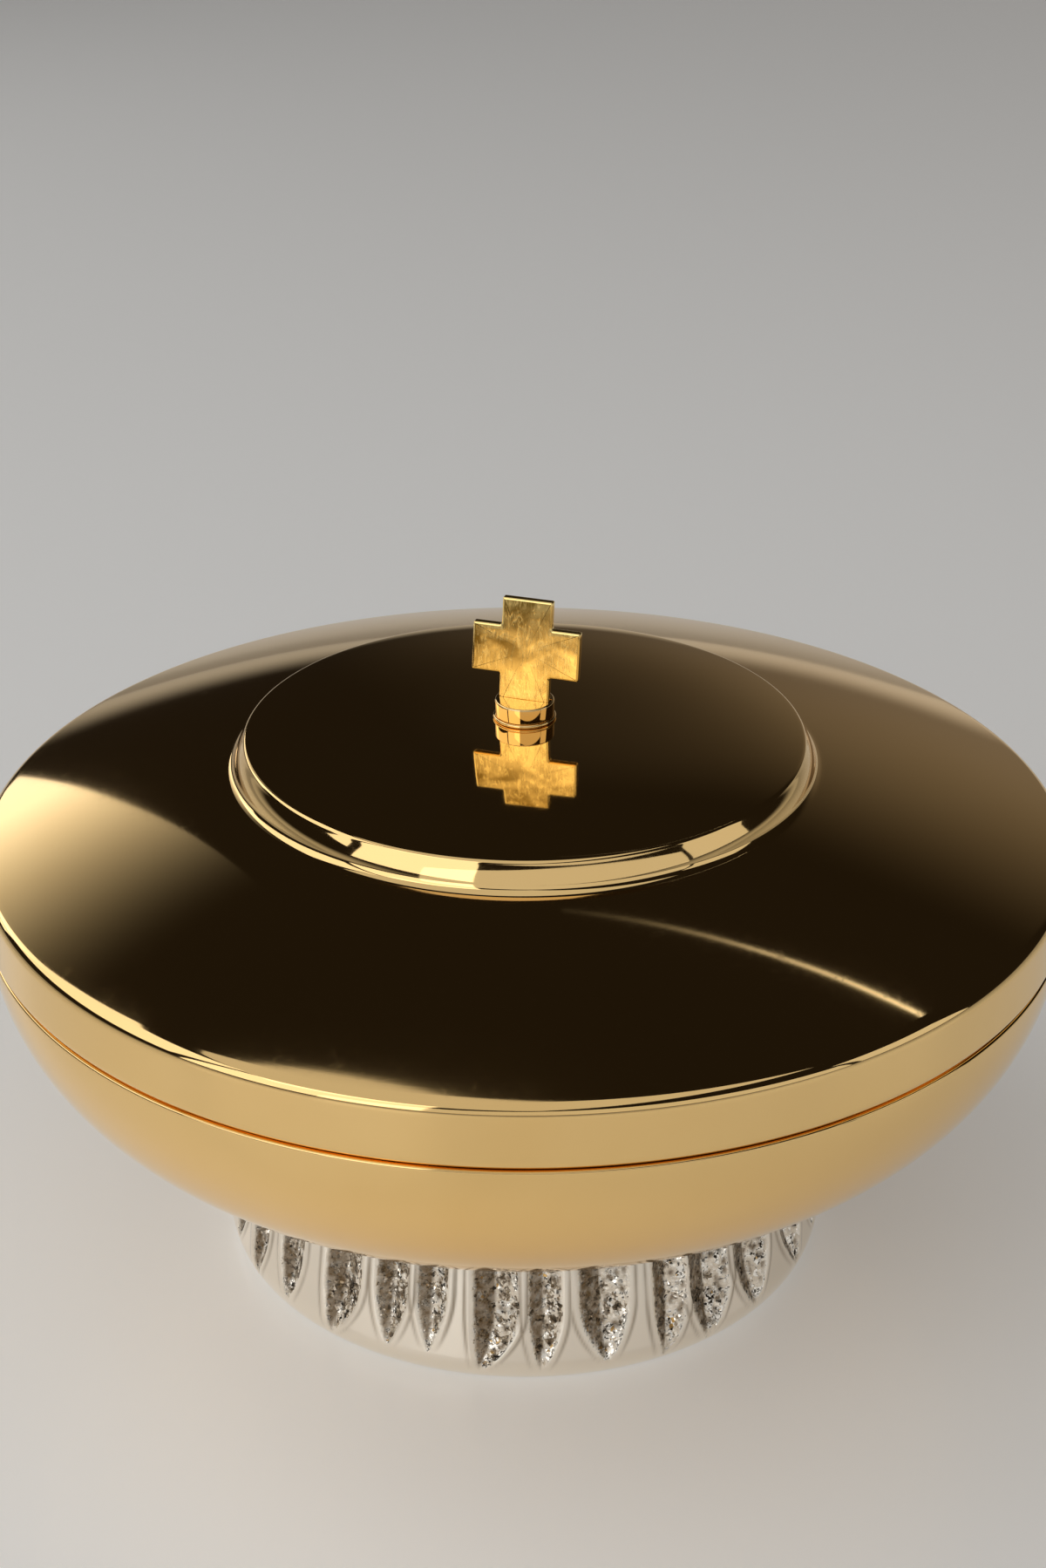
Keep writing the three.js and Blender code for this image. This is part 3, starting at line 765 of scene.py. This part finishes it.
pad_base = FOOT_HEIGHT - PAD_THICKNESS
foot_stud_end = foot_nut_base - STUD_PROUD
foot_stud_head = [(STUD_RADIUS, pad_base), (PAD_RADIUS, pad_base)]
foot_stud_head += [(PAD_RADIUS, FOOT_HEIGHT), (0, FOOT_HEIGHT)]
foot_stud = threaded_stud(
    "foot_stud_threaded", STUD_RADIUS, foot_stud_end, pad_base, foot_stud_head, FOOT_STUD_PITCH)
knob_stud_top = drum_base + KNOB_STUD_REACH
knob_stud_head = [(KNOB_STUD_RADIUS, collar_base), (KNOB_STUD_RADIUS, knob_stud_top), (0, knob_stud_top)]
knob_stud = threaded_stud(
    "knob_stud_threaded", KNOB_STUD_RADIUS, cap_nut_base, collar_base, knob_stud_head, KNOB_STUD_PITCH)

# %% [markdown]
# ## Finishes
#
# Every finish here is metal, so its colour is the colour of its reflections, and the rest is roughness
# and bump. Both are patterns on object coordinates, so they stay on the piece when it moves. Polishing
# and spinning marks run round the axis, so their noise is read at the radius and the height instead of at
# x and y, which makes rings of it.

# %% Node helpers
def new_finish(name):
    """A metal material: its node tree, its shader, and the object coordinates of its pattern."""
    finish = bpy.data.materials.new(name)
    finish.use_nodes = True
    tree = finish.node_tree
    shader = tree.nodes["Principled BSDF"]
    shader.inputs["Metallic"].default_value = 1.0
    place = tree.nodes.new("ShaderNodeTexCoord").outputs["Object"]
    print("finish:", name)
    return finish, tree, shader, place


def add(tree, kind, settings=None, output=0, **inputs):
    """Adds a node with its properties and its inputs, which are values or sockets, and returns an output.

    An input goes by its name, or by an underscore and its number.
    """
    node = tree.nodes.new("ShaderNode" + kind)
    for setting, value in (settings or {}).items():
        setattr(node, setting, value)
    for key, value in inputs.items():
        socket = node.inputs[int(key[1:])] if key[1:].isdigit() else node.inputs[key]
        if isinstance(value, bpy.types.NodeSocket):
            tree.links.new(value, socket)
        else:
            socket.default_value = value
    return node.outputs[output]


def scaled(tree, value, low, high, new_low, new_high):
    """Maps a number from one range to another and holds it inside the new one."""
    return add(tree, "MapRange", _0=value, _1=low, _2=high, _3=new_low, _4=new_high)


def noise(tree, place, per_metre, detail=2.0, distortion=0.0):
    """Cloudy noise from 0 to 1, with so many clouds to a metre."""
    return add(tree, "TexNoise", Vector=place, Scale=per_metre, Detail=detail, Distortion=distortion)


def math(tree, operation, first, second=0.0):
    """A sum, a product or another simple operation on one number or two."""
    return add(tree, "Math", {"operation": operation}, _0=first, _1=second)


def mixed(tree, share, first, second):
    """Goes from the first number to the second as the share goes from 0 to 1."""
    return add(tree, "Mix", {"data_type": "FLOAT"}, _0=share, _2=first, _3=second)


def tinted(tree, share, first, second):
    """Goes from the first colour to the second as the share goes from 0 to 1."""
    return add(tree, "Mix", {"data_type": "RGBA"}, 2, _0=share, _6=(*first, 1), _7=(*second, 1))


def along_axes(tree, vector):
    """The X, Y and Z of a vector, as three sockets."""
    split = tree.nodes.new("ShaderNodeSeparateXYZ")
    tree.links.new(vector, split.inputs[0])
    return split.outputs


def rings(tree, place):
    """Coordinates that are alike at one radius and height, so that a pattern on them runs in rings."""
    x, y, z = along_axes(tree, place)
    flat = add(tree, "CombineXYZ", X=x, Y=y)
    radius = add(tree, "VectorMath", {"operation": "LENGTH"}, "Value", _0=flat)
    return add(tree, "CombineXYZ", X=radius, Y=z)


def bumped(tree, height, distance, below=None):
    """A normal that follows a height pattern, distance metres from its lowest to its highest."""
    inputs = {"Height": height, "Distance": distance}
    if below is not None:
        inputs["Normal"] = below
    return add(tree, "Bump", **inputs)


def finished(tree, shader, roughness, normal, colour):
    """Joins the patterns of a finish to its shader."""
    tree.links.new(roughness, shader.inputs["Roughness"])
    tree.links.new(normal, shader.inputs["Normal"])
    tree.links.new(colour, shader.inputs["Base Color"])


def mark(tree, name):
    """The number that a piece's points carry under a name, or 0 on a piece that has none."""
    return add(tree, "Attribute", {"attribute_name": name}, "Fac")


# %% [markdown]
# ### Gold plate
#
# The outside is a mirror with a little haze where hands have been. The inside of the bowl and the lid is
# left brighter than satin but with the rings that the spinning tool made. The mark "satin" on the piece
# says which it is.

# %% Gold plate
GOLD_LIGHT = (0.95, 0.66, 0.29)
GOLD_DEEP = (0.9, 0.6, 0.24)

gold, tree, shader, place = new_finish("gold_plate_polished")
satin = mark(tree, "satin")
haze = noise(tree, place, 16.0, 5.0, 0.4)
wiped = noise(tree, place, 420.0, 3.0, 1.5)
hazy_polish = scaled(tree, haze, 0.35, 0.75, 0.035, 0.085)
polish = math(tree, "ADD", hazy_polish, scaled(tree, wiped, 0.55, 0.8, 0.0, 0.03))
spun_rings = noise(tree, rings(tree, place), 1500.0, 3.0)
satin_roughness = scaled(tree, spun_rings, 0.3, 0.7, 0.17, 0.3)
roughness = mixed(tree, satin, polish, satin_roughness)
sheet_waves = bumped(tree, noise(tree, place, 22.0, 1.0), 0.00009)
ring_height = math(tree, "MULTIPLY", spun_rings, scaled(tree, satin, 0.0, 1.0, 0.04, 1.0))
normal = bumped(tree, ring_height, 0.000012, sheet_waves)
colour = tinted(tree, scaled(tree, haze, 0.3, 0.7, 0.0, 1.0), GOLD_LIGHT, GOLD_DEEP)
finished(tree, shader, roughness, normal, colour)

# %% [markdown]
# ### Gold of the cross
#
# The cross is a deeper yellow, and its faces are covered with fine crossing scratches from hand
# finishing. A noise that is drawn out one way is near one half only along thin strokes, so five such
# noises, each turned another way, make them. Towards one upper corner, where it is held, the gold has a
# brown bloom, and the scratches go through it to the bright metal. The rim is a mirror, which the mark
# "rim" says.

# %% Cross gold
CROSS_BRIGHT = (0.97, 0.72, 0.28)
CROSS_BLOOM = (0.2, 0.12, 0.022)
STROKE_WIDTH = 0.035
SCRATCH_LEANS = (0.6, -0.45, 1.5, 2.4)

cross_gold, tree, shader, place = new_finish("cross_gold_scratched")
rim = mark(tree, "rim")


def scratches(tree, place, lean, per_metre):
    """Thin strokes that lean by an angle on the plate, 1 on a stroke and 0 away from it.

    The coordinates are turned by the lean and drawn out six times along it. A noise on them is near one half
    only along thin lines, which run the way it is drawn out, and a cloudier noise breaks the lines up.
    """
    turned_place = add(tree, "Mapping", Vector=place, Rotation=(0, lean, 0), Scale=(1, 1, 0.16))
    field = noise(tree, turned_place, per_metre, 1.0, 0.9)
    from_middle = math(tree, "ABSOLUTE", math(tree, "SUBTRACT", field, 0.5))
    line = scaled(tree, from_middle, 0.0, STROKE_WIDTH, 1.0, 0.0)
    broken = scaled(tree, noise(tree, place, per_metre * 0.6, 1.0), 0.45, 0.6, 0.0, 1.0)
    return math(tree, "MULTIPLY", line, broken)


cut = scratches(tree, place, 0.1, 900.0)
for count, lean in enumerate(SCRATCH_LEANS):
    cut = math(tree, "MAXIMUM", cut, scratches(tree, place, lean, 650.0 + 170.0 * count))
face = scaled(tree, rim, 0.0, 1.0, 1.0, 0.0)
cut = math(tree, "MULTIPLY", cut, face)
blotches = noise(tree, place, 170.0, 4.0, 0.6)
blotchy_polish = scaled(tree, blotches, 0.3, 0.7, 0.1, 0.24)
face_roughness = math(tree, "ADD", blotchy_polish, math(tree, "MULTIPLY", cut, 0.12))
roughness = mixed(tree, rim, face_roughness, 0.07)
dents = bumped(tree, math(tree, "MULTIPLY", blotches, face), 0.00005)
normal = bumped(tree, math(tree, "SUBTRACT", 1.0, cut), 0.000012, dents)
axes = along_axes(tree, place)
slant = math(tree, "SUBTRACT", axes["Z"], math(tree, "MULTIPLY", axes["X"], 0.5))
low = MILLIMETRE * (cross_middle - 0.8 * CROSS_REACH)
high = MILLIMETRE * (cross_middle + CROSS_REACH)
upward = scaled(tree, slant, low, high, 0.05, 0.95)
darkening = math(tree, "ADD", upward, scaled(tree, blotches, 0.35, 0.65, -0.35, 0.35))
darkening = math(tree, "SUBTRACT", darkening, math(tree, "MULTIPLY", cut, 0.45))
darkening = math(tree, "MULTIPLY", face, scaled(tree, darkening, 0.0, 1.0, 0.0, 1.0))
colour = tinted(tree, darkening, CROSS_BRIGHT, CROSS_BLOOM)
finished(tree, shader, roughness, normal, colour)

# %% [markdown]
# ### Silver of the foot
#
# The lands and the base ring are polished. The flanks of the flutes keep the bright broken surface that
# the tool left, with a brown bloom of tarnish in the pits. The same brown is painted on the rough flank and
# on the wall close under the bowl as painted shade, and the creases beside the borders are darker too. The
# marks "flute", "pit", "rough_flank_painted_shade" and "crease" say where.

# %% Foot silver
SILVER_BRIGHT = (0.93, 0.87, 0.77)
SILVER_TARNISH_AND_SHADE = (0.17, 0.115, 0.06)


def facets(tree, place, per_metre):
    """Height of small flat facets: each cell of a Voronoi pattern is a plane with its own random tilt."""
    cells = tree.nodes.new("ShaderNodeTexVoronoi")
    cells.inputs["Scale"].default_value = per_metre
    tree.links.new(place, cells.inputs["Vector"])
    offset = add(tree, "VectorMath", {"operation": "SUBTRACT"}, _0=place, _1=cells.outputs["Position"])
    tilt = add(tree, "VectorMath", {"operation": "SUBTRACT"}, _0=cells.outputs["Color"], _1=(0.5, 0.5, 0.5))
    return add(tree, "VectorMath", {"operation": "DOT_PRODUCT"}, "Value", _0=offset, _1=tilt)


def wrinkles(tree, place, per_metre):
    """Sharp winding ridges, as in crumpled foil."""
    settings = {"noise_type": "RIDGED_MULTIFRACTAL", "normalize": True}
    return add(tree, "TexNoise", settings, Vector=place, Scale=per_metre, Detail=2.0, Distortion=0.8)


silver, tree, shader, place = new_finish("foot_silver_cast")
flute = mark(tree, "flute")
pit = mark(tree, "pit")
rough_flank_painted_shade = math(tree, "MULTIPLY", mark(tree, "rough_flank_painted_shade"), flute)
haze = noise(tree, place, 60.0, 4.0)
land_roughness = scaled(tree, haze, 0.35, 0.7, 0.04, 0.09)
roughness = mixed(tree, rough_flank_painted_shade, mixed(tree, flute, land_roughness, 0.07), 0.17)
large_facets = bumped(tree, math(tree, "MULTIPLY", facets(tree, place, 750.0), flute), 0.8)
small_facets = bumped(tree, math(tree, "MULTIPLY", facets(tree, place, 1900.0), flute), 0.5, large_facets)
normal = bumped(tree, math(tree, "MULTIPLY", wrinkles(tree, place, 420.0), flute), 0.00022, small_facets)
# painted shade: the foot's wall darkens upwards under the bowl's overhang
painted_shade_under_bowl = scaled(tree, along_axes(tree, place)["Z"], 0.017, 0.03, 0.0, 0.4)
crease = math(tree, "MULTIPLY", mark(tree, "crease"), scaled(tree, haze, 0.3, 0.6, 0.35, 0.75))
patchiness = scaled(tree, noise(tree, place, 700.0, 3.0, 0.5), 0.35, 0.65, 1.0, 0.7)
# painted shade on the rough flank, broken into patches by noise
flank_painted_shade = math(tree, "MULTIPLY", rough_flank_painted_shade, patchiness)
# tarnish in the pits, painted shade on the rough flank and under the bowl, and darker creases
darkening = math(tree, "MAXIMUM", math(tree, "MULTIPLY", pit, flute), flank_painted_shade)
darkening = math(tree, "MAXIMUM", math(tree, "MAXIMUM", darkening, crease), painted_shade_under_bowl)
colour = tinted(tree, darkening, SILVER_BRIGHT, SILVER_TARNISH_AND_SHADE)
finished(tree, shader, roughness, normal, colour)

# %% [markdown]
# ### Steel of the fasteners
#
# The stud, plate, washer and nut under the bowl, and the stud and washer of the knob, are plain turned
# steel with fine rings from the lathe.

# %% Turned steel
STEEL_CLEAN = (0.62, 0.62, 0.63)
STEEL_STAINED = (0.5, 0.48, 0.45)

steel, tree, shader, place = new_finish("fastener_steel_turned")
lathe_rings = noise(tree, rings(tree, place), 2600.0, 2.0)
patchiness = noise(tree, place, 90.0, 4.0, 0.5)
ring_roughness = scaled(tree, lathe_rings, 0.3, 0.7, 0.2, 0.34)
roughness = math(tree, "ADD", ring_roughness, scaled(tree, patchiness, 0.5, 0.8, 0.0, 0.12))
normal = bumped(tree, lathe_rings, 0.00002)
colour = tinted(tree, scaled(tree, patchiness, 0.45, 0.75, 0.0, 1.0), STEEL_CLEAN, STEEL_STAINED)
finished(tree, shader, roughness, normal, colour)

# %% [markdown]
# ## Pieces on their bodies
#
# Each new piece stands for one node of the imported model, which it hides, rides on that node's body, and
# gets its finish, so that the lid and all that is fixed to it lift off together.

# %% Dress the bodies
dressed = [
    (lid_sheet, "lid_shell", "lid", gold, "gold_plate"),
    (bead_ring, "knob_collar", "lid", gold, "gold_plate"),
    (knob_drum, "knob_drum", "lid", gold, "gold_plate"),
    (cross_plate, "finial_cross", "lid", cross_gold, "cross_gold"),
    (knob_stud, "knob_stud", "lid", steel, "fastener_steel"),
    (lid_washer, "knob_washer", "lid", steel, "fastener_steel"),
    (cap_nut, "knob_cap_nut", "lid", gold, "gold_plate"),
    (bowl_sheet, "bowl_shell", "bowl", gold, "gold_plate"),
    (rim_ring, "bowl_rim_ring", "bowl", gold, "gold_plate"),
    (foot_cast, "foot_ring", "bowl", silver, "foot_silver"),
    (foot_stud, "foot_stud", "bowl", steel, "fastener_steel"),
    (clamp_plate, "foot_clamp_plate", "bowl", steel, "fastener_steel"),
    (foot_washer, "foot_washer", "bowl", steel, "fastener_steel"),
    (foot_nut, "foot_nut", "bowl", steel, "fastener_steel"),
]
for piece, node, body, finish, slot in dressed:
    piece.data.materials.append(finish)
    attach(piece, body)
    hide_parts(node)
print("dressed", len(dressed), "pieces")

# %% [markdown]
# ## Floor, lights and camera
#
# A mirror shows the room, so the room is kept plain: a pale floor, a sky that is pale at the horizon and
# dark overhead, and a few large soft lamps. The floor is a little brighter to the camera and to mirrors
# than its paper would be, and that share lights nothing else. Low behind on the right the sky has a
# faint glow, which lifts the lid's far side out of the dark. It is strongest in one direction and ends
# GLOW_REACH degrees from it.

# %% Floor
FLOOR_SIZE = 4.0
FLOOR_LIFT = 0.2
FLOOR_COLOUR = (0.8, 0.79, 0.77, 1)
FLOOR_ROUGHNESS = 0.3
LIFT_COLOUR = (1.0, 0.985, 0.96, 1)

floor_mesh = bpy.data.meshes.new("studio_floor")
floor_corners = FLOOR_SIZE * np.array([(-1, -1, 0), (1, -1, 0), (1, 1, 0), (-1, 1, 0)])
floor_mesh.from_pydata(floor_corners, [], [(0, 1, 2, 3)])
floor = bpy.data.objects.new("studio_floor", floor_mesh)
bpy.context.scene.collection.objects.link(floor)
paper = bpy.data.materials.new("floor_paper")
paper.use_nodes = True
tree = paper.node_tree
paper_shader = tree.nodes["Principled BSDF"]
paper_shader.inputs["Base Color"].default_value = FLOOR_COLOUR
paper_shader.inputs["Roughness"].default_value = FLOOR_ROUGHNESS
paper_shader.inputs["Emission Color"].default_value = LIFT_COLOUR
seen = tree.nodes.new("ShaderNodeLightPath")
camera_or_glossy = math(tree, "MAXIMUM", seen.outputs["Is Camera Ray"], seen.outputs["Is Glossy Ray"])
any_view = math(tree, "MAXIMUM", camera_or_glossy, seen.outputs["Is Transmission Ray"])
lift = math(tree, "MULTIPLY", any_view, FLOOR_LIFT)
tree.links.new(lift, paper_shader.inputs["Emission Strength"])
floor_mesh.materials.append(paper)
print("floor:", 2 * FLOOR_SIZE, "m square")

# %% Sky
CAMERA_AZIMUTH = np.radians(18.2)
HORIZON_COLOUR = (0.36, 0.355, 0.345, 1)
OVERHEAD_COLOUR = (0.014, 0.011, 0.008, 1)
DARK_FROM = 0.1
GLOW_BEARING = 22
GLOW_ELEVATION = 6
GLOW_REACH = 32
GLOW_POWER = 2.0
GLOW_COLOUR = (0.16, 0.14, 0.12, 1)

sky = bpy.data.worlds.new("studio_sky")
bpy.context.scene.world = sky
sky.use_nodes = True
tree = sky.node_tree
direction = tree.nodes.new("ShaderNodeTexCoord").outputs["Generated"]
ramp = tree.nodes.new("ShaderNodeValToRGB")
ramp.color_ramp.interpolation = "EASE"
ramp.color_ramp.elements[0].position = 0.0
ramp.color_ramp.elements[0].color = HORIZON_COLOUR
ramp.color_ramp.elements[1].position = DARK_FROM
ramp.color_ramp.elements[1].color = OVERHEAD_COLOUR
tree.links.new(along_axes(tree, direction)["Z"], ramp.inputs["Fac"])
glow_bearing = np.radians(GLOW_BEARING) - CAMERA_AZIMUTH
glow_height = np.radians(GLOW_ELEVATION)
glow_level = np.cos(glow_height)
glow_middle = (glow_level * np.sin(glow_bearing), glow_level * np.cos(glow_bearing), np.sin(glow_height))
nearness = add(tree, "VectorMath", {"operation": "DOT_PRODUCT"}, "Value", _0=direction, _1=glow_middle)
glow = scaled(tree, nearness, np.cos(np.radians(GLOW_REACH)), 1.0, 0.0, 1.0)
glow = math(tree, "POWER", glow, GLOW_POWER)
adding = {"data_type": "RGBA", "blend_type": "ADD"}
with_glow = add(tree, "Mix", adding, 2, _0=glow, _6=ramp.outputs["Color"], _7=GLOW_COLOUR)
tree.links.new(with_glow, tree.nodes["Background"].inputs["Color"])
tree.nodes["Background"].inputs["Strength"].default_value = 1.0
print("sky: glow towards", np.round(glow_middle, 2))

# %% [markdown]
# The camera stands where the photographer's did: round to the right of the cross's face, and above the
# vessel, so that it looks down on the lid. Its place and its lens make the ellipses of the lid and the
# foot as wide and as flat as they are in the photograph.

# %% Camera
CAMERA_PITCH = np.radians(26.34)
CAMERA_AWAY = 390.48
CAMERA_HEIGHT = 275.95
LENS = 60.03
FILM_WIDTH = 36.0
VIEW_CENTRE_TURN = np.radians(0.04)

camera_data = bpy.data.cameras.new("photo_camera")
camera_data.lens = LENS
camera_data.sensor_width = FILM_WIDTH
camera = bpy.data.objects.new("photo_camera", camera_data)
camera_right = CAMERA_AWAY * np.sin(CAMERA_AZIMUTH)
camera_back = -CAMERA_AWAY * np.cos(CAMERA_AZIMUTH)
camera.location = MILLIMETRE * np.array((camera_right, camera_back, CAMERA_HEIGHT))
camera.rotation_euler = (np.pi / 2 - CAMERA_PITCH, 0, CAMERA_AZIMUTH + VIEW_CENTRE_TURN)
bpy.context.scene.collection.objects.link(camera)
bpy.context.scene.camera = camera
print("camera", np.round(camera.location, 4), "m, lens", LENS, "mm")

# %% [markdown]
# The lamps stand where the bright patches on the lid come from. One behind on the left makes the wide
# glow there, and it fades upwards, so that the glow fades towards the front. A narrow one behind on the
# right makes the thin curve, which is brightest at its right end. Two on the left light the rolled
# shoulder, a wide one in front and one on the right light the wall of the raised disc, and one above
# lights the whole vessel softly.

# %% Lamps
FADE_POWER = 3.0


def soft_lamp(name, bearing, away, height, size, brightness, tilt=0, roll=0, fade=None):
    """A flat lamp that faces the vessel's axis level, or tilted down by so many degrees.

    bearing is measured from straight behind the vessel in the picture, to the right. brightness is what a
    mirror shows of the lamp, where 1 is white. roll turns the lamp in its own plane. fade gives two heights
    in metres, between which the lamp goes dark, first fast and then slowly.
    """
    bearing = np.radians(bearing) - CAMERA_AZIMUTH
    lamp_data = bpy.data.lights.new(name, "AREA")
    lamp_data.shape = "RECTANGLE"
    lamp_data.size, lamp_data.size_y = size
    lamp_data.energy = np.pi * size[0] * size[1] * brightness
    if fade is not None:
        lamp_data.use_nodes = True
        tree = lamp_data.node_tree
        position = tree.nodes.new("ShaderNodeNewGeometry").outputs["Position"]
        share = scaled(tree, along_axes(tree, position)["Z"], fade[0], fade[1], 1.0, 0.0)
        strength = math(tree, "POWER", share, FADE_POWER)
        tree.links.new(strength, tree.nodes["Emission"].inputs["Strength"])
    lamp = bpy.data.objects.new(name, lamp_data)
    lamp.location = (away * np.sin(bearing), away * np.cos(bearing), height)
    lamp.rotation_euler = (np.pi / 2 - np.radians(tilt), np.radians(roll), np.pi - bearing)
    bpy.context.scene.collection.objects.link(lamp)


soft_lamp("lamp_left_behind", -41.5, 1.2, 0.88, (0.72, 1.16), 1.5, roll=-3.5, fade=(0.42, 1.3))
soft_lamp("lamp_above", -155, 0.5, 1.1, (1.3, 1.45), 0.6, tilt=90)
soft_lamp("lamp_front", 168, 1.5, 0.62, (3.6, 0.8), 0.62)
soft_lamp("lamp_left", -76, 1.2, 1.15, (1.6, 1.2), 1.2)
soft_lamp("lamp_front_left", -138, 1.25, 0.8, (1.1, 1.1), 1.3)
soft_lamp("lamp_right", 103, 1.3, 0.55, (0.62, 0.7), 0.65)
soft_lamp("lamp_strip", 23.8, 0.9, 1.226, (0.67, 0.018), 1.3, roll=-17.5, fade=(1.14, 1.385))
bpy.context.scene.view_settings.view_transform = "Standard"
print("lamps:", [lamp.name for lamp in bpy.data.lights])
